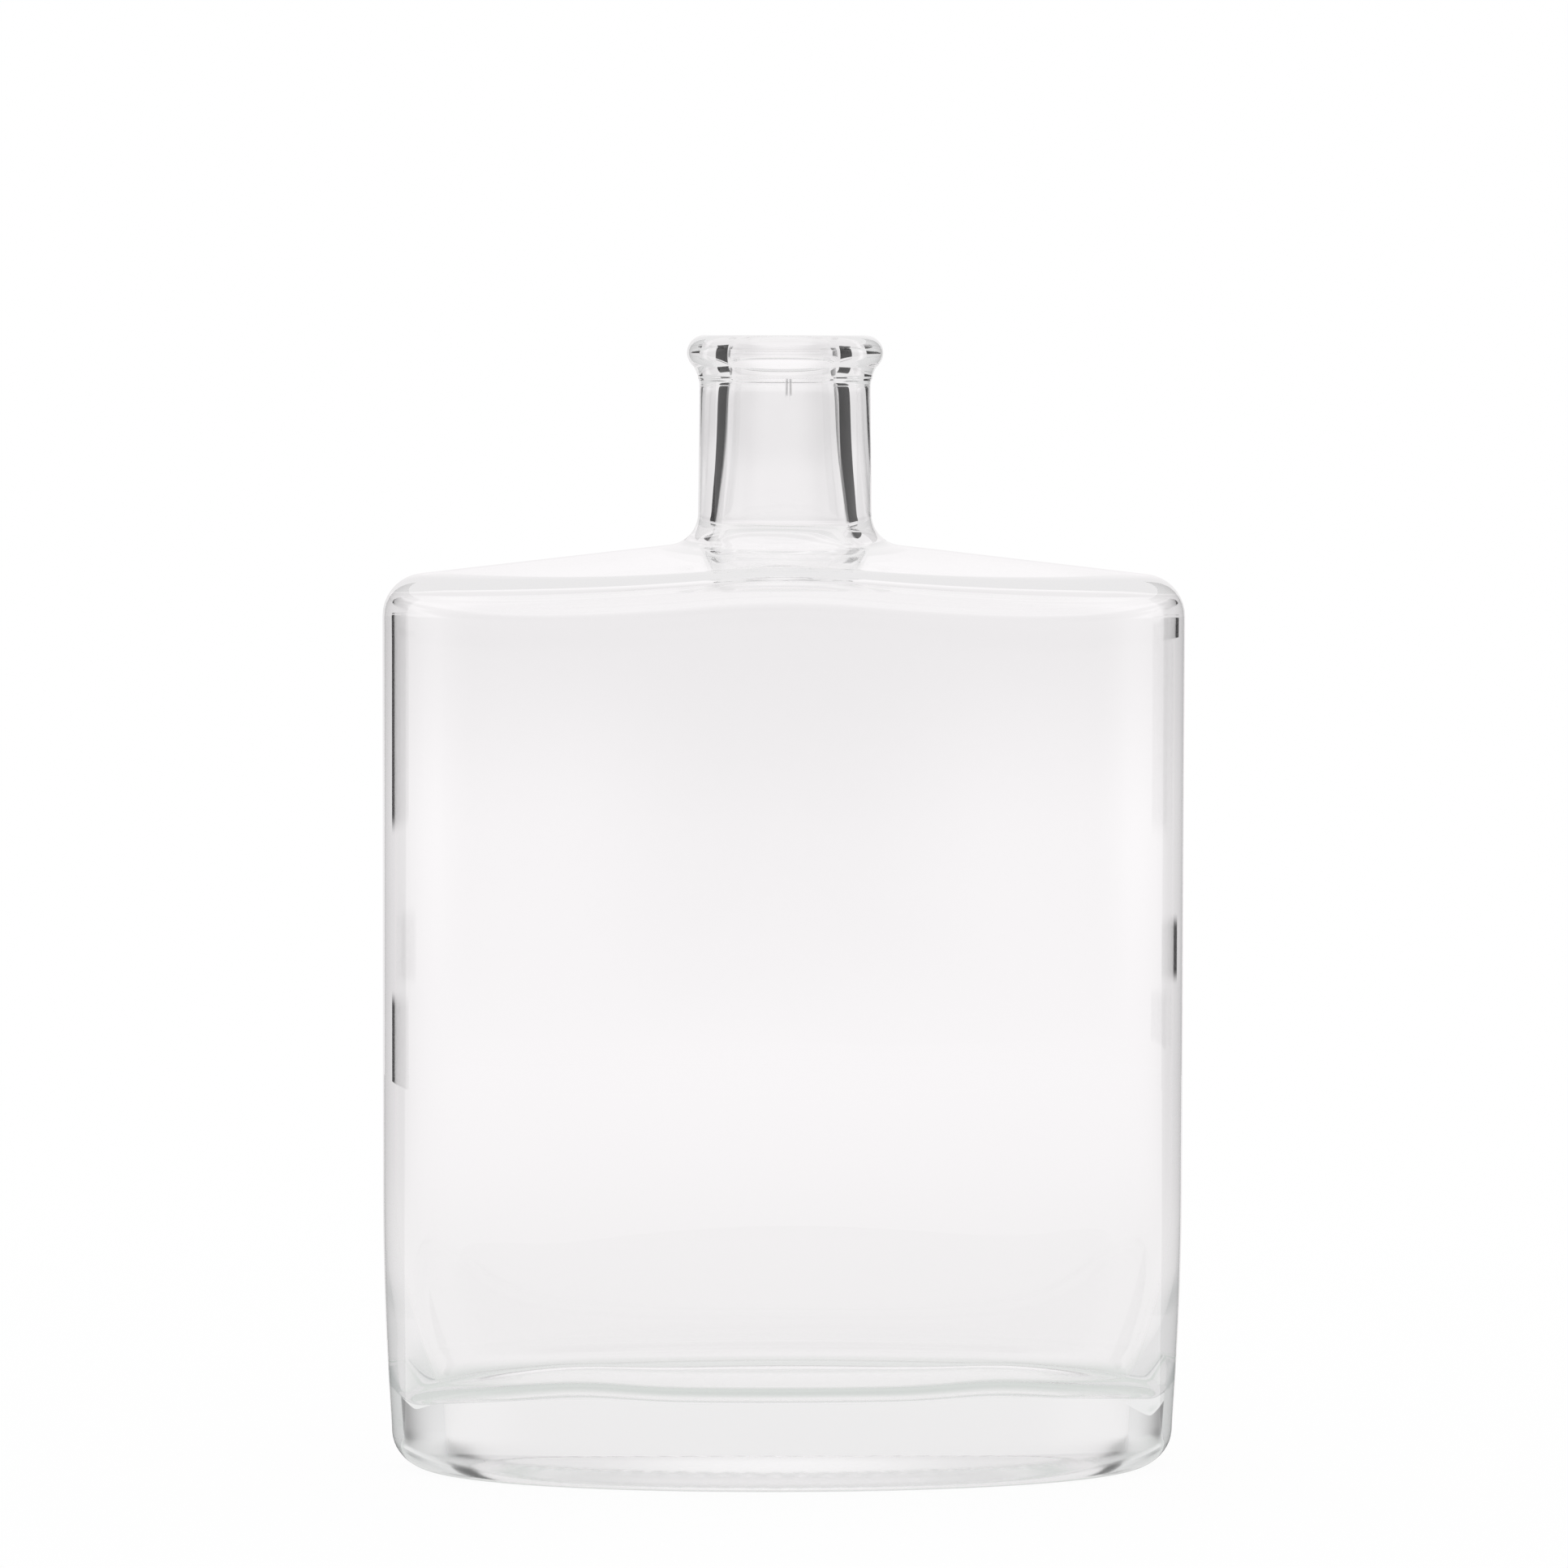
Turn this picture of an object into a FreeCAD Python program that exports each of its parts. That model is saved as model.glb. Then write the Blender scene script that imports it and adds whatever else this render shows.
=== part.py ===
import FreeCAD, Part
import os

import Sketcher

# Oval glass flask, empty and open: one piece of clear glass. Lengths in millimetres.
# +Z is up, +X runs along the width and +Y along the depth. The origin is the middle
# of the ring that the bottle stands on.

SIZES = {
    # Body: an upright column of oval section whose foot draws in a little
    "overall_height": 161.0,
    "body_width": 113.9,
    "body_depth": 58.0,
    "foot_inset": 1.7,
    "foot_draw_height": 40.0,
    "heel_radius": 5.5,
    # Shoulder: a shallow roof, straight along the width and arched across the depth
    "shoulder_fall": 6.6,
    "shoulder_arch_drop": 5.2,
    "shoulder_crown_radius": 90.0,
    "rim_radius": 6.0,
    # Neck, from the top of the shoulder to the lip, and its finish
    "neck_height": 27.8,
    "neck_root_radius": 4.5,
    "neck_foot_diameter": 24.8,
    "neck_foot_sink": 8.0,
    "neck_diameter": 24.2,
    "finish_height": 7.5,
    "bead_diameter": 27.8,
    "bead_section_radius": 2.5,
    "bead_foot_drop": 4.45,
    # Bore: straight where it takes the cork, then wider down to the cavity
    "bore_diameter": 16.0,
    "bore_length": 14.0,
    "bore_foot_diameter": 21.4,
    "bore_root_radius": 5.0,
    "lip_edge_radius": 0.8,
    # Wall, measured from the outer form in to the cavity
    "end_wall": 2.0,
    "face_wall": 2.7,
    "shoulder_wall": 2.6,
    "inner_rim_radius": 4.0,
    "floor_thickness": 10.0,
    "floor_rise": 1.0,
    "heel_gain": 2.2,
    "inner_heel_radius": 5.2,
    # Underside: an oval recess, pushed up inside the ring that the bottle stands on
    "recess_length": 72.0,
    "recess_width": 31.0,
    "recess_depth": 2.2,
    # How far a cutting shape runs past what it cuts
    "overrun": 5.0,
}

ALONG_X = FreeCAD.Vector(1, 0, 0)
ALONG_Y = FreeCAD.Vector(0, 1, 0)
ALONG_Z = FreeCAD.Vector(0, 0, 1)

# Heights that follow from the sizes
LIP = "sizes.overall_height"
SHOULDER = "(sizes.overall_height - sizes.neck_height)"
NECK_FOOT = f"({SHOULDER} - sizes.neck_foot_sink)"

doc = FreeCAD.newDocument("oval_flask")
sheet = doc.addObject("Spreadsheet::Sheet", "sizes")
for row, (alias, value) in enumerate(SIZES.items(), start=1):
    sheet.set(f"A{row}", alias)
    sheet.set(f"B{row}", str(value))
    sheet.setAlias(f"B{row}", alias)
doc.recompute()


def length_of(expression):
    """The value of an expression of the sheet's sizes."""
    return float(sheet.evalExpression(expression))


def make(kind, name, **properties):
    """A new object of the document, with its plain properties set."""
    thing = doc.addObject(kind, name)
    for key, value in properties.items():
        setattr(thing, key, value)
    return thing


def fuse(name, base, tool):
    return make("Part::Fuse", name, Base=base, Tool=tool)


def cut(name, base, tool):
    return make("Part::Cut", name, Base=base, Tool=tool)


def oval(name, half_width, half_depth, height):
    """An oval outline lying flat at a height."""
    outline = make("Part::Ellipse", name)
    outline.setExpression("MajorRadius", half_width)
    outline.setExpression("MinorRadius", half_depth)
    outline.setExpression(".Placement.Base.z", height)
    return outline


def cap(name, length, width, rise, height):
    """An oval cap, length by width where it meets a level and rise high in its middle."""
    # The ellipsoid's centre lies one rise below the level, where its half axes are
    # 2 / sqrt(3) of the cap's
    solid = make("Part::Ellipsoid", name)
    solid.setExpression("Radius1", f"2 * {rise}")
    solid.setExpression("Radius2", f"{length} / sqrt(3)")
    solid.setExpression("Radius3", f"{width} / sqrt(3)")
    solid.setExpression(".Placement.Base.z", f"{height} - {rise}")
    return solid


def tie(sketch, geometry, point, axis, expression):
    """Ties one coordinate of a sketch's point to an expression."""
    value = float(sketch.evalExpression(expression))
    constraint = Sketcher.Constraint(f"Distance{axis}", -1, 1, geometry, point, value)
    sketch.setExpression(f"Constraints[{sketch.addConstraint(constraint)}]", expression)


def add_arc(sketch, start, stop, across, up, radius):
    """An arc from start to stop, the short way round; returns it and its two ends."""
    centre = FreeCAD.Vector(length_of(across), length_of(up), 0)
    circle = Part.Circle(centre, ALONG_Z, length_of(radius))
    turns_left = (start - centre).cross(stop - centre).z > 0
    first, last = (start, stop) if turns_left else (stop, start)
    arc = Part.ArcOfCircle(circle, circle.parameter(first), circle.parameter(last))
    geometry = sketch.addGeometry(arc)
    tie(sketch, geometry, 3, "X", across)
    tie(sketch, geometry, 3, "Y", up)
    bend = sketch.addConstraint(Sketcher.Constraint("Radius", geometry, circle.Radius))
    sketch.setExpression(f"Constraints[{bend}]", radius)
    return (geometry, 1, 2) if turns_left else (geometry, 2, 1)


def upright_sketch(name, across, corners, arcs, closed=True):
    """Lines and arcs through corners, on an upright plane through the axis.

    A corner is (across, up, ties): two expressions and the coordinates that are tied,
    since a corner on an arc keeps one free. An arc goes by the number of the corner
    that it starts from, as (across, up, radius) of its circle.
    """
    sketch = make("Sketcher::SketchObject", name)
    turn = FreeCAD.Rotation(across, ALONG_Z, across.cross(ALONG_Z), "XYZ")
    sketch.Placement = FreeCAD.Placement(FreeCAD.Vector(), turn)
    spots = [FreeCAD.Vector(length_of(x), length_of(y), 0) for x, y, ties in corners]
    stops = spots[1:] + spots[:1] if closed else spots[1:]
    runs = []
    for number, (start, stop) in enumerate(zip(spots, stops)):
        if number in arcs:
            runs.append(add_arc(sketch, start, stop, *arcs[number]))
        else:
            runs.append((sketch.addGeometry(Part.LineSegment(start, stop)), 1, 2))
    followers = runs[1:] + runs[:1] if closed else runs[1:]
    for run, follower in zip(runs, followers):
        sketch.addConstraint(
            Sketcher.Constraint("Coincident", run[0], run[2], follower[0], follower[1])
        )
    ends = [(run[0], run[1]) for run in runs] + [(runs[-1][0], runs[-1][2])]
    for (geometry, point), (x, y, ties) in zip(ends, corners):
        if "X" in ties:
            tie(sketch, geometry, point, "X", x)
        if "Y" in ties:
            tie(sketch, geometry, point, "Y", y)
    doc.recompute()
    return sketch


def turned(name, outline):
    """A closed outline turned once round the upright axis."""
    return make("Part::Revolution", name, Source=outline, Axis=ALONG_Z, Solid=True)


def space_over_shoulder(name, lowering):
    """What lies over the shoulder: an arch across the depth, carried out along the
    width over a round crown and down the straight fall, to both sides."""
    angle = "atan(sizes.shoulder_fall / (sizes.body_width / 2))"
    reach = "(sizes.body_width / 2 + sizes.overrun)"
    crown = "sizes.shoulder_crown_radius"
    apex = f"({SHOULDER} - {lowering})"
    crown_centre = f"({apex} - {crown} / cos({angle}))"
    top = f"({crown_centre} + {crown})"
    ridge = upright_sketch(
        f"{name}_ridge",
        ALONG_X,
        [
            ("0", top, "X"),
            (f"{crown} * sin({angle})", f"{crown_centre} + {crown} * cos({angle})", "X"),
            (reach, f"{apex} - {reach} * tan({angle})", "XY"),
        ],
        {0: ("0", crown_centre, crown)},
        closed=False,
    )
    drop = "sizes.shoulder_arch_drop"
    half_depth = "(sizes.body_depth / 2)"
    arch_radius = f"(({half_depth}^2 + {drop}^2) / (2 * {drop}))"
    side = f"({half_depth} + sizes.overrun)"
    side_up = f"({top} - {arch_radius} + sqrt({arch_radius}^2 - {side}^2))"
    ceiling = f"({LIP} + sizes.overrun)"
    arch = upright_sketch(
        f"{name}_arch",
        ALONG_Y,
        [
            (side, side_up, "X"),
            (f"-{side}", side_up, "X"),
            (f"-{side}", ceiling, "XY"),
            (side, ceiling, "XY"),
        ],
        {0: ("0", f"{top} - {arch_radius}", arch_radius)},
    )
    ridge_runs = [f"Edge{number}" for number in range(1, len(ridge.Shape.Edges) + 1)]
    half = make("Part::Sweep", f"{name}_right", Sections=[arch], Spine=(ridge, ridge_runs), Solid=True)
    mirrored = make("Part::Mirroring", f"{name}_left", Source=half, Normal=ALONG_X)
    return fuse(name, half, mirrored)


def oval_column(name, foot, foot_in, end_in, face_in, lowering):
    """An oval column from a foot height up to the shoulder, which it follows."""
    half_width = f"sizes.body_width / 2 - {end_in}"
    half_depth = f"sizes.body_depth / 2 - {face_in}"
    top = "sizes.foot_draw_height"
    # The foot draws in along a parabola: half way down it, a quarter of the way in
    outlines = [
        oval(f"{name}_foot", f"{half_width} - {foot_in}", f"{half_depth} - {foot_in}", foot),
        oval(
            f"{name}_ankle",
            f"{half_width} - {foot_in} / 4",
            f"{half_depth} - {foot_in} / 4",
            f"({foot} + {top}) / 2",
        ),
        oval(f"{name}_wall", half_width, half_depth, top),
    ]
    lower = make("Part::Loft", f"{name}_lower", Sections=outlines, Solid=True)
    upper = make(
        "Part::Extrusion", f"{name}_upper", Base=outlines[-1], DirMode="Custom", Dir=ALONG_Z, Solid=True
    )
    upper.setExpression("LengthFwd", f"{SHOULDER} - {top}")
    column = fuse(f"{name}_column", lower, upper)
    return cut(f"{name}_body", column, space_over_shoulder(f"{name}_sky", lowering))


def is_straight(edge):
    return edge.Curve.TypeId == "Part::GeomLine"


def is_foot(edge):
    """The oval round the bottom of a form."""
    return not is_straight(edge) and edge.BoundBox.ZMax < length_of("sizes.foot_draw_height / 2")


def is_rim(edge):
    """Where the wall meets the shoulder: high up, and far out on the oval."""
    middle = edge.valueAt((edge.FirstParameter + edge.LastParameter) / 2)
    share_of_width = middle.x / length_of("sizes.body_width / 2")
    share_of_depth = middle.y / length_of("sizes.body_depth / 2")
    far_out_share = 0.7
    far_out = share_of_width**2 + share_of_depth**2 > far_out_share
    return not is_straight(edge) and far_out and middle.z > length_of(f"{SHOULDER} / 2")


def is_neck_root(edge):
    """Where the neck or the bore meets the shoulder: near the axis, under the ridge."""
    box = edge.BoundBox
    spread = max(abs(box.XMin), abs(box.XMax), abs(box.YMin), abs(box.YMax))
    near = spread < length_of("sizes.neck_foot_diameter / 2 + sizes.neck_root_radius")
    lowest = length_of(f"{SHOULDER} - sizes.shoulder_arch_drop - sizes.shoulder_wall")
    between = lowest < box.ZMin and box.ZMax < length_of(SHOULDER)
    return not is_straight(edge) and near and between


def rounded(name, base, roundings):
    """Rounds edges: each rounding is a test that picks them and the name of a size."""
    doc.recompute()
    picked = []
    for test, alias in roundings:
        radius = length_of(f"sizes.{alias}")
        numbers = [number for number, edge in enumerate(base.Shape.Edges, start=1) if test(edge)]
        picked += [(number, radius, radius) for number in numbers]
    return make("Part::Fillet", name, Base=base, Edges=picked)


def outer_form():
    """The outside: body, neck and the bead round the lip."""
    bead_centre = "(sizes.bead_diameter / 2 - sizes.bead_section_radius)"
    outline = upright_sketch(
        "neck_outline",
        ALONG_X,
        [
            ("0", NECK_FOOT, "XY"),
            ("sizes.neck_foot_diameter / 2", NECK_FOOT, "XY"),
            ("sizes.neck_diameter / 2", f"{LIP} - sizes.finish_height", "XY"),
            ("sizes.bead_diameter / 2", f"{LIP} - sizes.bead_foot_drop", "Y"),
            (bead_centre, LIP, "X"),
            ("0", LIP, "XY"),
        ],
        {3: (bead_centre, f"{LIP} - sizes.bead_section_radius", "sizes.bead_section_radius")},
    )
    body = oval_column("outer", "0", "sizes.foot_inset", "0", "0", "0")
    sharp = fuse("outer_sharp", body, turned("neck", outline))
    roundings = [(is_foot, "heel_radius"), (is_rim, "rim_radius"), (is_neck_root, "neck_root_radius")]
    return rounded("outer_form", sharp, roundings)


def cavity_form():
    """The inside: the cavity on its slightly crowned floor, and the bore."""
    lip_edge = "(sizes.bore_diameter / 2 + sizes.lip_edge_radius)"
    outline = upright_sketch(
        "bore_outline",
        ALONG_X,
        [
            ("0", NECK_FOOT, "XY"),
            ("sizes.bore_foot_diameter / 2", NECK_FOOT, "XY"),
            ("sizes.bore_diameter / 2", f"{LIP} - sizes.bore_length", "XY"),
            ("sizes.bore_diameter / 2", f"{LIP} - sizes.lip_edge_radius", "Y"),
            (lip_edge, LIP, "X"),
            (lip_edge, f"{LIP} + sizes.overrun", "XY"),
            ("0", f"{LIP} + sizes.overrun", "XY"),
        ],
        {3: (lip_edge, f"{LIP} - sizes.lip_edge_radius", "sizes.lip_edge_radius")},
    )
    body = oval_column(
        "cavity",
        "sizes.floor_thickness",
        "(sizes.foot_inset + sizes.heel_gain)",
        "sizes.end_wall",
        "sizes.face_wall",
        "sizes.shoulder_wall",
    )
    sharp = fuse("cavity_sharp", body, turned("bore", outline))
    roundings = [
        (is_foot, "inner_heel_radius"),
        (is_rim, "inner_rim_radius"),
        (is_neck_root, "bore_root_radius"),
    ]
    crown = cap("floor_crown", "sizes.recess_length", "sizes.recess_width", "sizes.floor_rise",
                "sizes.floor_thickness")
    return cut("cavity_form", rounded("cavity_round", sharp, roundings), crown)


# The glass is what lies between the two forms, less the recess in its underside
walls = cut("walls", outer_form(), cavity_form())
recess = cap("recess", "sizes.recess_length", "sizes.recess_width", "sizes.recess_depth", "0")
glass_bottle = cut("glass_bottle", walls, recess)
glass_bottle.Label = "glass_bottle"
doc.recompute()

for thing in doc.Objects:
    if "Invalid" in thing.State or "Error" in thing.State:
        raise RuntimeError(f"{thing.Name} did not build: {thing.State}")

sub_parts = [glass_bottle]
for thing in sub_parts:
    shape = thing.Shape
    if shape.isNull() or not shape.isValid() or len(shape.Solids) != 1:
        raise RuntimeError(f"{thing.Label} is not one sound solid")
    print(thing.Label, "volume", round(shape.Volume, 1), "mm3, faces", len(shape.Faces))

os.makedirs("parts", exist_ok=True)
for thing in sub_parts:
    thing.Shape.exportStep(f"parts/{thing.Label}.step")
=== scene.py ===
import math

import bpy
import numpy as np
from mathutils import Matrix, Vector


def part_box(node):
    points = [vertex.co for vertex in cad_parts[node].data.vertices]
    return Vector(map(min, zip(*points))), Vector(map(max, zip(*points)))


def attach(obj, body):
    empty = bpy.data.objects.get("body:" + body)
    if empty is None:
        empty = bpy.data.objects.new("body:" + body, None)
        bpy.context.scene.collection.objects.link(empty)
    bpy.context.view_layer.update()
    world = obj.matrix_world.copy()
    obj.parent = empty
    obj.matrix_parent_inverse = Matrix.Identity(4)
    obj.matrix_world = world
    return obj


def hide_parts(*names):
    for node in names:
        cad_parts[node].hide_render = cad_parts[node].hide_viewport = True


# Clear glass flask of oval section, standing empty and open on a pale table.
# Lengths are written in millimetres, and mm turns them into metres.
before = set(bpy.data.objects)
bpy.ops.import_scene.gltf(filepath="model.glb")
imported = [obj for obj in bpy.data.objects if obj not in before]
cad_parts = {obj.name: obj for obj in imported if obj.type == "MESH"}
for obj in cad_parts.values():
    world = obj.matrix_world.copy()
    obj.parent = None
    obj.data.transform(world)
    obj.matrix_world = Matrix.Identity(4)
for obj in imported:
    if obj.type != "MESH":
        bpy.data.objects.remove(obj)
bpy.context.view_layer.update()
mm = 0.001
lowCorner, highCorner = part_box("glass_bottle")
halfWidth = (highCorner[0] - lowCorner[0]) / 2
halfDepth = (highCorner[1] - lowCorner[1]) / 2
lipHeight = highCorner[2]
print("frame loaded")


# The glass, as closed rings of points from the underside to the floor inside


def easeIn(value, start, stop):
    # 0 before start, 1 after stop, with a smooth step 3t^2 - 2t^3 between them
    t = np.clip((value - start) / (stop - start), 0, 1)
    return t * t * (3 - 2 * t)


def bump(value, middle, reach):
    # a bell: exp(-(distance / reach)^2)
    return np.exp(-(((value - middle) / reach) ** 2))


def between(first, last, share):
    # a straight blend: first + (last - first) * share
    return first + (last - first) * share


def steps(start, stop, count):
    # evenly spaced values as a column, so that they spread over the rings
    return np.linspace(start, stop, count)[:, None]


# columns of points round the bottle, closer together at the middle of the front, where two
# fine seams stand: equal shares of the running total of 1 + crowding * bell
columns = 280
crowding, crowdedOver = 5, math.radians(3.5)
fineTurn = np.linspace(0, 2 * np.pi, 20000)
running = np.cumsum(1 + crowding * bump(fineTurn, 1.5 * np.pi, crowdedOver))
turn = np.interp(np.arange(columns) / columns, running / running[-1], fineTurn)
along, across = np.cos(turn), np.sin(turn)

# points of the bottle's section on each stretch of it, both ends counted
sectionPoints = {
    "recess": 11,
    "recessSlope": 22,
    "stand": 4,
    "heel": 12,
    "wall": 44,
    "rim": 10,
    "shoulder": 20,
    "neckRoot": 12,
    "neck": 26,
    "collar": 26,
    "bead": 26,
    "lipTop": 4,
    "lipEdge": 8,
    "bore": 16,
    "boreFlare": 20,
    "boreRoot": 12,
    "innerShoulder": 20,
    "innerRim": 9,
    "innerWall": 40,
    "innerHeel": 16,
    "floor": 14,
}


def ringsOf(x, y, z):
    # rings of points from coordinates of any shapes that spread to rows by columns
    x, y, z = np.broadcast_arrays(x, y, z)
    return np.stack([x, y, z], axis=-1)


def outwards(width, depth):
    # the level unit normal of an oval: (depth cos t, width sin t) over its length
    size = np.hypot(depth * along, width * across)
    return depth * along / size, width * across / size


def facesToEnds(atFaces, atEnds):
    # a size that changes round the oval, from its two broad faces to its two ends, with the
    # sixth power of the cosine
    return between(atFaces, atEnds, along ** 6)


shoulder = {
    "apex": lipHeight - 27.8 * mm,
    "fall": 6.6 * mm,
    "archDrop": 5.2 * mm,
    "crownRadius": 90 * mm,
    "rimRadius": 6 * mm,
}


def roof(x, y, lowering):
    # height of the shoulder: an arc over the middle and a straight fall beyond it, less the
    # sag of an arch across the depth
    slope = math.atan(shoulder["fall"] / halfWidth)
    crown, aside = shoulder["crownRadius"], np.abs(x)
    arcEnd = crown * math.sin(slope)
    centre = shoulder["apex"] - crown / math.cos(slope)
    arc = centre + np.sqrt(crown ** 2 - np.minimum(aside, arcEnd) ** 2)
    ridge = np.where(aside < arcEnd, arc, shoulder["apex"] - aside * math.tan(slope))
    drop = shoulder["archDrop"]
    arch = (halfDepth ** 2 + drop ** 2) / (2 * drop)
    return ridge - (arch - np.sqrt(arch ** 2 - y ** 2)) - lowering


def fallAlong(x, y, dx, dy, lowering):
    # how steeply the shoulder falls along a level direction, as an angle: the fall between a
    # short step back and one ahead, over the two steps
    step = 0.05 * mm
    back = roof(x - dx * step, y - dy * step, lowering)
    ahead = roof(x + dx * step, y + dy * step, lowering)
    return np.arctan2(back - ahead, 2 * step)


def rimArc(wallX, wallY, nx, ny, radius, lowering, count):
    # a round from the upright wall over to the shoulder, in the upright plane along the
    # wall's normal: centre + radius (cos a, sin a) with a from 0 to the shoulder's normal.
    # Three rounds settle where it touches the shoulder.
    fall = np.zeros_like(wallX)
    for _ in range(3):
        touchX = wallX - nx * radius * (1 - np.sin(fall))
        touchY = wallY - ny * radius * (1 - np.sin(fall))
        fall = fallAlong(touchX, touchY, nx, ny, lowering)
    height = roof(touchX, touchY, lowering) - radius * np.cos(fall)
    angle = steps(0, 1, count) * (np.pi / 2 - fall)
    inward = radius * (1 - np.cos(angle))
    return ringsOf(wallX - nx * inward, wallY - ny * inward, height + radius * np.sin(angle))


def rootArc(coneRadius, coneUp, lean, radius, lowering, count):
    # a hollow round from the shoulder up to a round cone whose side leans by an angle and
    # passes through (coneRadius, coneUp), in the upright plane through the axis:
    # centre - radius (cos a, sin a), with a from the shoulder's normal to the lean. Five
    # rounds settle where it touches the shoulder.
    fall, height = np.zeros_like(along), np.full_like(along, shoulder["apex"])
    for _ in range(5):
        cone = coneRadius + (coneUp - height + radius * math.sin(lean)) * math.tan(lean)
        middle = cone + radius * math.cos(lean)
        touch = middle - radius * np.sin(fall)
        fall = fallAlong(touch * along, touch * across, along, across, lowering)
        height = roof(touch * along, touch * across, lowering) + radius * np.cos(fall)
    angle = lean + (1 - steps(0, 1, count)) * (np.pi / 2 - fall - lean)
    spread = middle - radius * np.cos(angle)
    return ringsOf(spread * along, spread * across, height - radius * np.sin(angle))


def roofBetween(rimRing, rootRing, lowering, count):
    # the shoulder between its rim and the neck's root, along straight lines in plan
    share = steps(0, 1, count)[1:-1]
    x = between(rimRing[:, 0], rootRing[:, 0], share)
    y = between(rimRing[:, 1], rootRing[:, 1], share)
    return ringsOf(x, y, roof(x, y, lowering))


def roundNeck(radii, heights):
    # level circles about the axis, from lists of radius and height
    radii, heights = np.asarray(radii)[:, None], np.asarray(heights)[:, None]
    return ringsOf(radii * along, radii * across, heights)


def arcPoints(centreAcross, centreUp, radius, start, stop, count):
    # radius and height of points on an arc, from one angle in degrees to another
    angle = np.radians(np.linspace(start, stop, count))
    return centreAcross + radius * np.cos(angle), centreUp + radius * np.sin(angle)


foot = {"inset": 1.7 * mm, "drawHeight": 40 * mm, "heelAtFaces": 1.6 * mm, "heelAtEnds": 5.5 * mm}


def footInset(height, inset, footUp=0):
    # how far a wall draws in towards its foot: inset * (1 - share of the draw height)^2
    share = (height - footUp) / (foot["drawHeight"] - footUp)
    return inset * np.clip(1 - share, 0, None) ** 2


# where the knurls start and end is a share of the way from the recess's top to the ring
underside = {
    "recessLength": 72 * mm,
    "recessWidth": 31 * mm,
    "recessDepth": 2.2 * mm,
    "recessCrown": 0.3 * mm,
    "standWidth": 2.4 * mm,
    "knurls": 70,
    "knurlDepth": 0.12 * mm,
    "knurlStart": (0, 0.08),
    "knurlEnd": (0.2, 0.3),
}


def undersideRings():
    # an oval recess with a nearly flat top, short radial knurls round its edge, a slope
    # down to the narrow ring that the bottle stands on, then the heel's arc
    depth = underside["recessDepth"]
    share = steps(0, 1, sectionPoints["recess"])[1:]
    x = underside["recessLength"] / 2 * share * along
    y = underside["recessWidth"] / 2 * share * across
    recess = ringsOf(x, y, depth + underside["recessCrown"] * (1 - share ** 2))
    nx, ny = outwards(halfWidth, halfDepth)
    lean = math.atan(2 * foot["inset"] / foot["drawHeight"])
    radius = facesToEnds(foot["heelAtFaces"], foot["heelAtEnds"])
    inset = footInset(radius, foot["inset"]) + radius * math.cos(lean)
    edgeX, edgeY = halfWidth * along - nx * inset, halfDepth * across - ny * inset
    innerX, innerY = edgeX - nx * underside["standWidth"], edgeY - ny * underside["standWidth"]
    share = steps(0, 1, sectionPoints["recessSlope"])[1:]
    knurl = 0.5 + 0.5 * np.cos(underside["knurls"] * turn)
    band = easeIn(share, *underside["knurlStart"]) * (1 - easeIn(share, *underside["knurlEnd"]))
    slope = ringsOf(
        between(recess[-1, :, 0], innerX, share),
        between(recess[-1, :, 1], innerY, share),
        depth * (1 - easeIn(share, 0, 1)) + underside["knurlDepth"] * knurl * band,
    )
    share = steps(0, 1, sectionPoints["stand"])[1:]
    stand = ringsOf(between(innerX, edgeX, share), between(innerY, edgeY, share), 0)
    angle = np.radians(steps(-90, -math.degrees(lean), sectionPoints["heel"]))[1:]
    inward = inset - radius * np.cos(angle)
    x, y = halfWidth * along - nx * inward, halfDepth * across - ny * inward
    heel = ringsOf(x, y, radius * (1 + np.sin(angle)))
    return np.concatenate([recess, slope, stand, heel])


def outerWall(bottomUp, topUp):
    # the upright wall, drawn in towards the foot, from a ring of heights to another
    heights = between(bottomUp, topUp, steps(0, 1, sectionPoints["wall"])[1:-1])
    nx, ny = outwards(halfWidth, halfDepth)
    inward = footInset(heights, foot["inset"])
    return ringsOf(halfWidth * along - nx * inward, halfDepth * across - ny * inward, heights)


# finishHeight, beadFoot, boreLength and the drops are measured down from the lip, footSink and
# asideDepth down from the shoulder's top, and the seams' sizes down from the parting line;
# seamSpread is a slope
neck = {
    "footRadius": 12.4 * mm,
    "footSink": 8 * mm,
    "radius": 12.1 * mm,
    "rootRadius": 4.5 * mm,
    "finishHeight": 7.5 * mm,
    "beadRadius": 13.9 * mm,
    "beadSection": 2.5 * mm,
    "beadFoot": 4.45 * mm,
    "boreRadius": 8 * mm,
    "boreLength": 14 * mm,
    "boreFootRadius": 10.7 * mm,
    "boreRoot": 5 * mm,
    "boreBlend": 5 * mm,
    "boreAside": -0.25 * mm,
    "asideWithin": 9.5 * mm,
    "asideEnds": 11.4 * mm,
    "asideDepth": 12 * mm,
    "throatDrop": 5 * mm,
    "throatDepth": 0.3 * mm,
    "throatReach": 3.2 * mm,
    "lipEdge": 0.8 * mm,
    "partingDrop": 6.1 * mm,
    "partingStep": 0.07 * mm,
    "partingWidth": 0.16 * mm,
    "seamHeight": 0.12 * mm,
    "seamWidth": 0.12 * mm,
    "seamApart": 0.24 * mm,
    "seamSpread": 0.02,
    "seamStart": (-0.1 * mm, 0.2 * mm),
    "seamReach": 2.3 * mm,
    "seamFade": 0.5 * mm,
}


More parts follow.
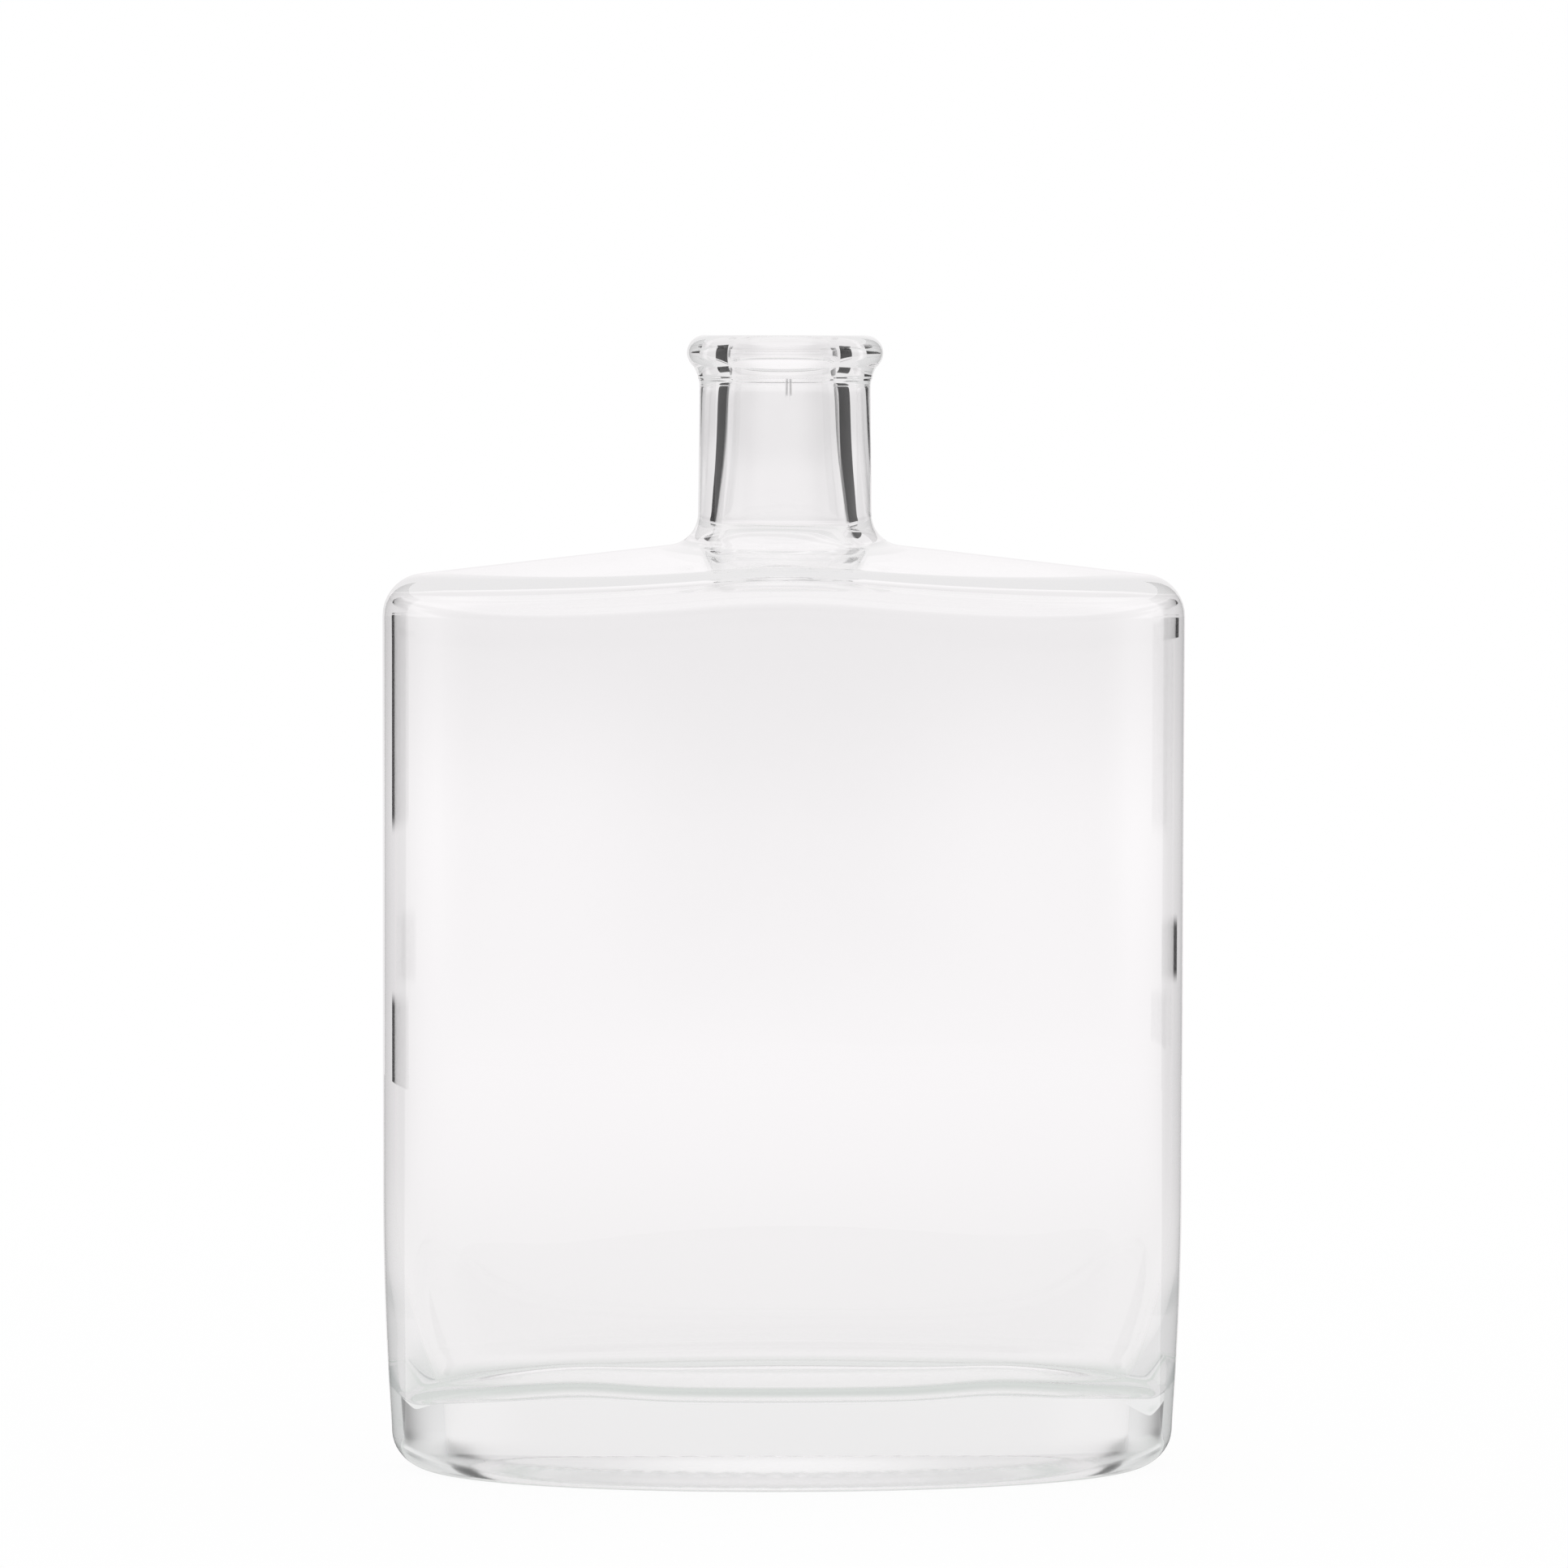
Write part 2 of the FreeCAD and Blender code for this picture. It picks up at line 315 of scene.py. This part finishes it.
def addSeams(rings):
    # two fine upright seams under the parting line, at the middle of the front, which part
    # as they go down: outwards by a bell across each, times an ease in and out along it
    side = np.hypot(rings[..., 0], rings[..., 1])
    fromFront = np.arctan2(rings[..., 0], -rings[..., 1]) * side
    below = lipHeight - neck["partingDrop"] - rings[..., 2]
    apart = neck["seamApart"] + neck["seamSpread"] * below
    ridge = bump(np.abs(fromFront), apart, neck["seamWidth"])
    end, fade = neck["seamReach"], neck["seamFade"]
    length = easeIn(below, *neck["seamStart"]) * (1 - easeIn(below, end - fade, end + fade))
    rings[..., :2] *= (1 + neck["seamHeight"] * ridge * length / side)[..., None]


def neckRings(startRadius, startUp):
    # the neck's slight taper, the collar, which widens with the square of its height, the
    # bead round the lip and its round top edge
    top = lipHeight - neck["finishHeight"]
    rise = np.linspace(0, 1, sectionPoints["neck"])[1:]
    taper = between(startRadius, neck["radius"], rise)
    taperUp = between(startUp, top, rise)
    section = neck["beadSection"]
    centre, centreUp = neck["beadRadius"] - section, lipHeight - section
    beadFootUp = lipHeight - neck["beadFoot"]
    footAngle = math.asin((beadFootUp - centreUp) / section)
    rise = np.linspace(0, 1, sectionPoints["collar"])[1:-1]
    collar = between(neck["radius"], centre + section * math.cos(footAngle), rise ** 2)
    collarUp = between(top, beadFootUp, rise)
    parting = bump(collarUp, lipHeight - neck["partingDrop"], neck["partingWidth"])
    collar = collar + neck["partingStep"] * parting
    footAngle = math.degrees(footAngle)
    bead, beadUp = arcPoints(centre, centreUp, section, footAngle, 90, sectionPoints["bead"])
    lip = neck["boreRadius"] + neck["lipEdge"]
    lipTop = np.linspace(centre, lip, sectionPoints["lipTop"])[1:-1]
    edgeUp = lipHeight - neck["lipEdge"]
    edge, edgeUp = arcPoints(lip, edgeUp, neck["lipEdge"], 90, 180, sectionPoints["lipEdge"])
    rings = roundNeck(
        np.concatenate([taper, collar, bead, lipTop, edge]),
        np.concatenate([taperUp, collarUp, beadUp, lipTop * 0 + lipHeight, edgeUp]),
    )
    addSeams(rings)
    return rings


# the floor's sizes: floor is its height, the two falls are how far it drops at its ends, and
# wallCrowding brings the wall's rings closer together towards it
inside = {
    "faceWall": 2.7 * mm,
    "leftWall": 1.9 * mm,
    "rightWall": 1.7 * mm,
    "shoulderWall": 2.6 * mm,
    "rimAtFaces": 4 * mm,
    "rimAtEnds": 2 * mm,
    "floor": 11.4 * mm,
    "floorTilt": 0.7 * mm,
    "fallLeft": 1.9 * mm,
    "fallRight": 1.3 * mm,
    "floorWave": 0.6 * mm,
    "waveAside": 31 * mm,
    "waveReach": 9 * mm,
    "heelAtFaces": 4.7 * mm,
    "heelAtEnds": 1.8 * mm,
    "heelTilt": 0.3 * mm,
    "insetAtFaces": 2.1 * mm,
    "insetAtEnds": 5.4 * mm,
    "wallCrowding": 1.5,
}


def innerOval():
    # half axes of the cavity, whose left end wall is thicker than the right one
    reach = halfWidth - np.where(along < 0, inside["leftWall"], inside["rightWall"])
    return reach, np.full_like(along, halfDepth - inside["faceWall"])


def boreRings(startUp, root, lean):
    # the bore, straight but for a slight narrowing in the throat, then a flare that leans by
    # an angle down to the root. A parabola takes off the corner where the flare starts:
    # lean * (blend - distance)^2 over 4 * blend
    radius, flareTop = neck["boreRadius"], lipHeight - neck["boreLength"]
    straight = np.linspace(startUp, flareTop, sectionPoints["bore"])[1:]
    throat = bump(straight, lipHeight - neck["throatDrop"], neck["throatReach"])
    bore = roundNeck(radius - neck["throatDepth"] * throat, straight)
    share = steps(0, 1, sectionPoints["boreFlare"])[1:-1, :, None]
    flare = between(roundNeck([radius], [flareTop]), root[0], share)
    rings = np.concatenate([bore, flare])
    blend = neck["boreBlend"]
    closeness = np.clip(blend - np.abs(rings[..., 2] - flareTop), 0, None)
    widen = math.tan(lean) * closeness ** 2 / (4 * blend)
    rings[..., 0] += widen * along
    rings[..., 1] += widen * across
    return rings


def floorRings(reach, depth, rim):
    # the wall, drawn in from the rim towards the floor, the heel's arc, and the floor. The
    # floor is lower at the back and falls with the fourth power of the cosine towards both
    # ends, more on the left, and its edge rises in a low wave along the front.
    nx, ny = outwards(reach, depth)
    fall = np.where(along < 0, inside["fallLeft"], inside["fallRight"]) * along ** 4
    wave = bump(np.abs(halfWidth * along), inside["waveAside"], inside["waveReach"])
    wave = inside["floorWave"] * wave * (across < 0)
    edgeUp = inside["floor"] - inside["floorTilt"] * across - fall + wave
    radius = facesToEnds(inside["heelAtFaces"], inside["heelAtEnds"]) - inside["heelTilt"] * across
    inset = facesToEnds(inside["insetAtFaces"], inside["insetAtEnds"])
    heelTop = edgeUp + radius
    down = 1 - (1 - steps(0, 1, sectionPoints["innerWall"])[1:]) ** inside["wallCrowding"]
    heights = between(rim[:, 2], heelTop, down)
    drawn = footInset(heights, inset, edgeUp)
    wall = ringsOf(reach * along - nx * drawn, depth * across - ny * drawn, heights)
    angle = np.radians(steps(0, 90, sectionPoints["innerHeel"]))[1:]
    heights = heelTop - radius * np.sin(angle)
    inward = footInset(heights, inset, edgeUp) - drawn[-1] + radius * (1 - np.cos(angle))
    heel = ringsOf(wall[-1, :, 0] - nx * inward, wall[-1, :, 1] - ny * inward, heights)
    share = 1 - steps(0, 1, sectionPoints["floor"])[1:-1]
    tilt = inside["floorTilt"] * across * share
    level = inside["floor"] - tilt - fall * share ** 4 + wave * share ** 6
    floor = ringsOf(heel[-1, :, 0] * share, heel[-1, :, 1] * share, level)
    return np.concatenate([wall, heel, floor])


def insideRings(startUp):
    # the bore, its hollow root, the underside of the shoulder, then the wall and the floor
    lowering = inside["shoulderWall"]
    footUp, footRadius = shoulder["apex"] - neck["footSink"], neck["boreFootRadius"]
    flareTop = lipHeight - neck["boreLength"]
    lean = math.atan((footRadius - neck["boreRadius"]) / (flareTop - footUp))
    count = sectionPoints["boreRoot"]
    root = rootArc(footRadius, footUp, lean, neck["boreRoot"], lowering, count)[::-1]
    reach, depth = innerOval()
    nx, ny = outwards(reach, depth)
    radius = facesToEnds(inside["rimAtFaces"], inside["rimAtEnds"])
    count = sectionPoints["innerRim"]
    rim = rimArc(reach * along, depth * across, nx, ny, radius, lowering, count)
    under = roofBetween(rim[-1], root[-1], lowering, sectionPoints["innerShoulder"])[::-1]
    bore, floor = boreRings(startUp, root, lean), floorRings(reach, depth, rim[0])
    return np.concatenate([bore, root, under, rim[::-1], floor])


def meshOfRings(name, rings, firstPole, lastPole):
    # joins each ring to the next with quads and closes both ends with fans
    rows = len(rings)
    points = np.concatenate([rings.reshape(-1, 3), [firstPole, lastPole]])
    row = np.arange(rows - 1)[:, None] * columns
    here = np.arange(columns)[None, :]
    after = (here + 1) % columns
    quads = [row + here, row + after, row + columns + after, row + columns + here]
    quads = np.stack(quads, axis=-1)
    first, last, top = rows * columns, rows * columns + 1, (rows - 1) * columns
    here, after = here[0], after[0]
    fans = np.concatenate([
        np.stack([np.full(columns, first), after, here], axis=-1),
        np.stack([np.full(columns, last), top + here, top + after], axis=-1),
    ])
    mesh = bpy.data.meshes.new(name)
    mesh.from_pydata(points.tolist(), [], quads.reshape(-1, 4).tolist() + fans.tolist())
    mesh.shade_smooth()
    mesh.update()
    thing = bpy.data.objects.new(name, mesh)
    bpy.context.scene.collection.objects.link(thing)
    return thing


def makeBottle():
    # every stretch of the section in turn, up the outside and down the inside
    base = undersideRings()
    x, y = halfWidth * along, halfDepth * across
    nx, ny = outwards(halfWidth, halfDepth)
    rim = rimArc(x, y, nx, ny, shoulder["rimRadius"], 0, sectionPoints["rim"])
    wall = outerWall(base[-1, :, 2], rim[0, :, 2])
    footUp, footRadius = shoulder["apex"] - neck["footSink"], neck["footRadius"]
    neckTop = lipHeight - neck["finishHeight"]
    lean = math.atan((footRadius - neck["radius"]) / (neckTop - footUp))
    root = rootArc(footRadius, footUp, lean, neck["rootRadius"], 0, sectionPoints["neckRoot"])
    roofs = roofBetween(rim[-1], root[0], 0, sectionPoints["shoulder"])
    finish = neckRings(np.hypot(root[-1, :, 0], root[-1, :, 1]).mean(), root[-1, :, 2].max())
    inner = insideRings(finish[-1, 0, 2])
    rings = np.concatenate([base, wall, rim, roofs, root, finish, inner])
    # the bore sits a little to one side of the neck's axis
    radius = np.hypot(rings[..., 0], rings[..., 1])
    boreShare = 1 - easeIn(radius, neck["asideWithin"], neck["asideEnds"])
    boreShare = boreShare * (rings[..., 2] > shoulder["apex"] - neck["asideDepth"])
    rings[..., 0] += neck["boreAside"] * boreShare
    recessUp = underside["recessDepth"] + underside["recessCrown"]
    print("glass rings", len(rings), "triangles", 2 * len(rings) * columns)
    return meshOfRings("oval_flask_glass", rings, (0, 0, recessUp), (0, 0, inside["floor"]))


# Materials


class Wire:
    # wraps a socket, so that sums and products of masks are written as Python sums
    def __init__(self, tree, socket=None):
        self.tree, self.socket = tree, socket

    def node(self, kind, settings, sockets, output=0):
        # one new node: its settings first, then the value or the link of each socket
        made = self.tree.nodes.new("ShaderNode" + kind)
        for name, value in settings.items():
            setattr(made, name, value)
        for name, value in sockets.items():
            if isinstance(value, Wire):
                self.tree.links.new(value.socket, made.inputs[name])
            else:
                made.inputs[name].default_value = value
        return Wire(self.tree, made.outputs[output] if made.outputs else None)

    def math(self, operation, *values):
        return self.node("Math", {"operation": operation}, dict(enumerate(values)))

    def __add__(self, other):
        return self.math("ADD", self, other)

    def __radd__(self, other):
        return self.math("ADD", other, self)

    def __sub__(self, other):
        return self.math("SUBTRACT", self, other)

    def __rsub__(self, other):
        return self.math("SUBTRACT", other, self)

    def __mul__(self, other):
        return self.math("MULTIPLY", self, other)

    def __rmul__(self, other):
        return self.math("MULTIPLY", other, self)

    def past(self, edge, soft):
        # 0 below the edge and 1 above it, smooth over a width of soft
        ends = {"From Min": edge - soft / 2, "From Max": edge + soft / 2}
        settings = {"interpolation_type": "SMOOTHSTEP"}
        return self.node("MapRange", settings, {"Value": self, **ends})

    def within(self, low, high, soft):
        return self.past(low, soft) * (1 - self.past(high, soft))

    def size(self):
        # the value without its sign
        return self.math("ABSOLUTE", self)

    def part(self, axis):
        return self.node("SeparateXYZ", {}, {"Vector": self}, axis)


degreesPerRadian = math.degrees(1)


def emptyTree(owner):
    # the node tree of a material or of the world, switched on and cleared
    owner.use_nodes = True
    owner.node_tree.nodes.clear()
    return Wire(owner.node_tree)


def larger(first, second):
    return first.math("MAXIMUM", first, second)


def rayIs(start, what):
    # what Light Path says of the ray that looks
    return start.node("LightPath", {}, {}, what)


def glowOf(start, colour):
    return start.node("Emission", {}, {"Color": colour, "Strength": 1.0})


def mixOf(start, share, first, second):
    # the first shader where share is 0 and the second where it is 1
    return start.node("MixShader", {}, {0: share, 1: first, 2: second})


# a pair is an edge and the width over which it is passed: heights in dullUpTo and lowUpTo,
# distances to either side in cornerFrom, depths in frontUpTo and counts in the two others. The
# glow colours are a painted glow in place of light past the renderer's few reflections, with
# painted shade low down and at the corners.
glass = {
    "ior": 1.52,
    "absorbColour": (0.86, 0.91, 0.89, 1),
    "absorbDensity": 3.0,
    "waveScale": 35.0,
    "waveStrength": 0.03,
    "baseRoughness": 0.2,
    "dullUpTo": (3.5 * mm, 3 * mm),
    "seamShade": 0.62,
    "seamEnds": 0.5 * mm,
    "frontUpTo": (-10 * mm, 1 * mm),
    "mirroredUpTo": (3.5, 0.1),
    "crossedUpTo": (10.5, 0.1),
    "paintedGlowColour": (0.83, 0.82, 0.825, 1),
    "paintedGlowLowShade": (0.78, 0.77, 0.775, 1),
    "paintedGlowCornerShade": (0.6, 0.61, 0.61, 1),
    "lowUpTo": (20 * mm, 10 * mm),
    "cornerFrom": (48 * mm, 6 * mm),
}


def makeGlass():
    # clear glass with a faint waviness, dull underneath, with painted shade along the two seams
    # and a painted glow on paths past the renderer's few reflections
    material = bpy.data.materials.new("clear_flint_glass")
    start = emptyTree(material)
    place = start.node("TexCoord", {}, {}, "Object")
    waves = start.node(
        "TexNoise", {}, {"Vector": place, "Scale": glass["waveScale"], "Detail": 1.0}
    )
    normal = start.node(
        "Bump", {}, {"Strength": glass["waveStrength"], "Distance": 1 * mm, "Height": waves}
    )
    # the underside and the lowest part of the heel keep the dull grain of the mould
    height, sideways = place.part("Z"), place.part("X").size()
    dull = glass["baseRoughness"] * (1 - height.past(*glass["dullUpTo"]))
    # painted shade: the base colour is darker along the two fine seams at the front of the collar,
    # in place of the dark lines that their steep sides make
    below = lipHeight - neck["partingDrop"] - height
    offSeam = (sideways - neck["seamApart"] - neck["seamSpread"] * below).size()
    seam = 1 - offSeam.past(neck["seamWidth"], neck["seamWidth"])
    seam = seam * below.within(0, neck["seamReach"], glass["seamEnds"])
    seam = seam * (1 - place.part("Y").past(*glass["frontUpTo"]))
    clear = start.node(
        "BsdfPrincipled",
        {},
        {
            "Base Color": 1 - glass["seamShade"] * seam,
            "Roughness": dull,
            "IOR": glass["ior"],
            "Transmission Weight": 1.0,
            "Normal": normal,
        },
    )
    depth = start.node(
        "VolumeAbsorption", {}, {"Color": glass["absorbColour"], "Density": glass["absorbDensity"]}
    )
    # painted glow: on a path past the renderer's few reflections the glass glows as pale as the
    # room, in place of the light that would come out elsewhere
    mirrored = rayIs(start, "Glossy Depth").past(*glass["mirroredUpTo"])
    paintedGlowShare = larger(mirrored, rayIs(start, "Transmission Depth").past(*glass["crossedUpTo"]))
    # painted shade: the glow is dimmer low down and darker still towards the lower corners
    low, corner = glowOf(start, glass["paintedGlowLowShade"]), glowOf(start, glass["paintedGlowCornerShade"])
    low = mixOf(start, sideways.past(*glass["cornerFrom"]), low, corner)
    glow = mixOf(start, height.past(*glass["lowUpTo"]), low, glowOf(start, glass["paintedGlowColour"]))
    mixed = mixOf(start, paintedGlowShare, clear, glow)
    start.node("OutputMaterial", {}, {"Surface": mixed, "Volume": depth})
    return material


# Stage: room, table and camera

# angles in degrees, up from level and aside from straight behind the bottle; a pair is an
# edge and the width over which it is passed
room = {
    "backdrop": (1.0, 0.98, 0.99, 1),
    "plain": (1, 1, 1, 1),
    "backdropHalfAngle": 38.5,
    "skinHalfAngle": 22.0,
    "flagEnd": 70.0,
    "flagSoft": 1.5,
    "flagDark": 0.985,
    "flagFootLeft": -3.63,
    "flagFootRight": -1.67,
    "flagTop": 30.0,
    "gapFootLeft": -4.96,
    "gapFootRight": -4.35,
    "slotFootLeft": -5.95,
    "slotFootRight": -4.8,
    "footSoft": 0.15,
    "rightFrom": (0, 10),
    "dimUp": 0.085,
    "dimUpFrom": (-2.9, 1.8),
    "dimUpTo": (6, 6),
    "dimDown": 0.03,
    "dimDownTo": (-4.4, 1.6),
    "dimAside": 0.14,
    "dimAsideFrom": (9, 14),
    "facing": 3.0,
    "frontFrom": (105, 26),
    "front": 0.62,
    "frontHigh": 0.3,
    "highFrom": (4.0, 6),
    "lowUpTo": (-4.6, 2.4),
    "patch": 0.25,
    "patchAside": (22, 30),
    "patchUp": (-5.2, -2.6, 1.6),
}


def outerSkin(start):
    # 1 on a ray that has only been mirrored by the outside of the glass, and 0 on the others
    mirrored = rayIs(start, "Glossy Depth").past(0.5, 0.1)
    return mirrored * (1 - rayIs(start, "Transmission Depth").past(0.5, 0.1))


def dimmedAside(degreesOff):
    # how much dimmer the backdrop is away from the way that the camera faces
    return room["dimAside"] * degreesOff.past(*room["dimAsideFrom"])


def makeRoom():
    # what shows through the glass and in it: a white backdrop, a dark flag at each side of
    # it with a gap low down, and a greyer room in front, which shows only as a reflection.
    # The camera itself, and what lights a plain surface, is plain white.
    world = bpy.data.worlds.new("white_room")
    bpy.context.scene.world = world
    start = emptyTree(world)
    look = start.node("TexCoord", {}, {}, "Generated")
    turned = start.math("ARCTAN2", look.part("X"), look.part("Y")) * degreesPerRadian
    aside = turned.size()
    up = start.math("ARCSINE", look.part("Z")) * degreesPerRadian
    # in the outside of the glass the flags show wider, and down to the table
    skin = outerSkin(start)
    flags = aside.within(room["backdropHalfAngle"], room["flagEnd"], room["flagSoft"])
    wider = skin * aside.within(room["skinHalfAngle"], room["flagEnd"], room["flagSoft"])
    right = turned.past(*room["rightFrom"])

    def above(name):
        # 1 above a foot whose height differs between the left and the right side
        foot = between(room[name + "Left"], room[name + "Right"], right)
        return (up - foot).past(0, room["footSoft"])

    upper = larger(above("flagFoot"), skin) * (1 - up.past(room["flagTop"], room["footSoft"]))
    slot = larger(above("slotFoot") - above("gapFoot"), 0.0)
    dark = larger(flags, wider) * larger(upper, slot)
    # the front: one grey, darker higher up, with a darker patch level with the camera, and
    # as light as the table low down
    front = rayIs(start, "Glossy Depth").past(0.5, 0.1) * aside.past(*room["frontFrom"])
    high = up.past(*room["highFrom"]) * (room["front"] - room["frontHigh"])
    patch = room["patch"] * (1 - (180 - aside).past(*room["patchAside"]))
    grey = 1 - room["front"] + high + patch * up.within(*room["patchUp"])
    # the backdrop is brightest in a wide band across its middle, straight behind the bottle
    dimUp = room["dimUp"] * (up.past(*room["dimUpFrom"]) - up.past(*room["dimUpTo"]))
    dimDown = room["dimDown"] * (1 - up.past(*room["dimDownTo"]))
    dim = dimUp + dimDown + dimmedAside((turned - room["facing"]).size())
    light = (1 - room["flagDark"] * dark) * (1 - dim)
    light = light * (1 - front * grey * up.past(*room["lowUpTo"]))
    studio = start.node("Background", {}, {"Color": room["backdrop"], "Strength": light})
    plain = start.node("Background", {}, {"Color": room["plain"], "Strength": 1.0})
    share = larger(rayIs(start, "Is Camera Ray"), rayIs(start, "Is Diffuse Ray"))
    start.node("OutputWorld", {}, {"Surface": mixOf(start, share, studio, plain)})


# a pair is a distance from the middle and the width over which it is passed
table = {
    "radius": 600 * mm,
    "corners": 128,
    "glow": 0.96,
    "glowFrom": 50 * mm,
    "glowTo": 620 * mm,
    "paint": (0.93, 0.93, 0.93, 1),
    "direct": (1, 1, 1, 1),
    "near": (0.89, 0.875, 0.88, 1),
    "far": (0.97, 0.95, 0.96, 1),
    "recess": (0.9, 0.89, 0.89, 1),
    "ring": (0.68, 0.705, 0.685, 1),
    "flagShade": (0.015, 0.015, 0.015, 1),
    "unlit": (0, 0, 0, 1),
    "narrowing": (0.4, 1, 1),
    "ringFrom": (18 * mm, 8 * mm),
    "ringTo": (30 * mm, 12 * mm),
    "behindHalf": 50 * mm,
}


def makeTable():
    # a round white table top: it glows white for the camera; for the glass it glows with painted
    # shade near and under the bottle, to the sides and where the flags' image lies, and a part of
    # it stays plain white paint, so that the bottle leaves a light shadow
    corners = table["corners"]
    angle = np.linspace(0, 2 * np.pi, corners, endpoint=False)
    points = np.stack([np.cos(angle), np.sin(angle), angle * 0], axis=-1) * table["radius"]
    mesh = bpy.data.meshes.new("table_top")
    mesh.from_pydata(points.tolist(), [], [list(range(corners))])
    top = bpy.data.objects.new("table_top", mesh)
    bpy.context.scene.collection.objects.link(top)
    material = bpy.data.materials.new("white_table")
    start = emptyTree(material)
    place = start.node("TexCoord", {}, {}, "Object")
    distance = start.node("VectorMath", {"operation": "LENGTH"}, {0: place}, "Value")
    far = distance.past(
        (table["glowFrom"] + table["glowTo"]) / 2, table["glowTo"] - table["glowFrom"]
    )
    camera = rayIs(start, "Is Camera Ray")
    glassRay = larger(rayIs(start, "Is Glossy Ray"), rayIs(start, "Is Transmission Ray"))
    share = larger(camera, glassRay) * (table["glow"] + far * (1 - table["glow"]))
    paint = start.node("BsdfDiffuse", {}, {"Color": table["paint"]})
    # under the bottle, the table is in the shade of the ring that stands on it and light
    # again inside the ring
    oval = start.node("VectorMath", {"operation": "MULTIPLY"}, {0: place, 1: table["narrowing"]})
    span = start.node("VectorMath", {"operation": "LENGTH"}, {0: oval}, "Value")
    recess, ring = glowOf(start, table["recess"]), glowOf(start, table["ring"])
    under = mixOf(start, span.past(*table["ringFrom"]), recess, ring)
    # painted shade: close to the bottle the table glows greyer than far off
    near = mixOf(start, span.past(*table["ringTo"]), under, glowOf(start, table["near"]))
    # far off, the table dims to both sides as the backdrop does, beyond the bottle's width
    x, y = place.part("X"), place.part("Y")
    sideways = (x - y * math.tan(math.radians(room["facing"]))).size() - table["behindHalf"]
    off = start.math("ARCTAN2", larger(sideways, 0.0), y) * degreesPerRadian
    lit, unlit = glowOf(start, table["far"]), glowOf(start, table["unlit"])
    distant = mixOf(start, dimmedAside(off), lit, unlit)
    # painted shade: in the outside of the glass the table is painted black where the flags' image
    # would lie
    flagShadeMask = off.within(room["skinHalfAngle"], room["flagEnd"], room["flagSoft"])
    flagShadeMask = outerSkin(start) * flagShadeMask
    glow = mixOf(start, far, near, distant)
    glow = mixOf(start, flagShadeMask, glow, glowOf(start, table["flagShade"]))
    glow = mixOf(start, camera, glow, glowOf(start, table["direct"]))
    start.node("OutputMaterial", {}, {"Surface": mixOf(start, share, paint, glow)})
    mesh.materials.append(material)


# angles in degrees: aside is where the camera stands, round the bottle's axis to the left
eye = {
    "distance": 1084 * mm,
    "aside": 2.4,
    "turn": 0.009,
    "pitch": 3.36,
    "roll": 0.14,
    "lens": 175.5,
}


def makeCamera():
    # level with the lip, a little to the left of straight on, looking slightly down
    data = bpy.data.cameras.new("camera")
    data.lens, data.sensor_width = eye["lens"], 36
    data.clip_start, data.clip_end = 0.01, 20
    camera = bpy.data.objects.new("camera", data)
    aside, distance = math.radians(eye["aside"]), eye["distance"]
    camera.location = (-distance * math.sin(aside), -distance * math.cos(aside), lipHeight)
    camera.rotation_mode = "XYZ"
    pitch, roll = math.radians(90 - eye["pitch"]), -math.radians(eye["roll"])
    camera.rotation_euler = (pitch, roll, math.radians(eye["turn"]) - aside)
    bpy.context.scene.collection.objects.link(camera)
    bpy.context.scene.camera = camera


makeRoom()
makeTable()
makeCamera()
print("stage ready")
bottle = makeBottle()
bottle.data.materials.append(makeGlass())
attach(bottle, "root")
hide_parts("glass_bottle")
print("bottle ready")
bpy.context.scene.view_settings.view_transform = "Standard"
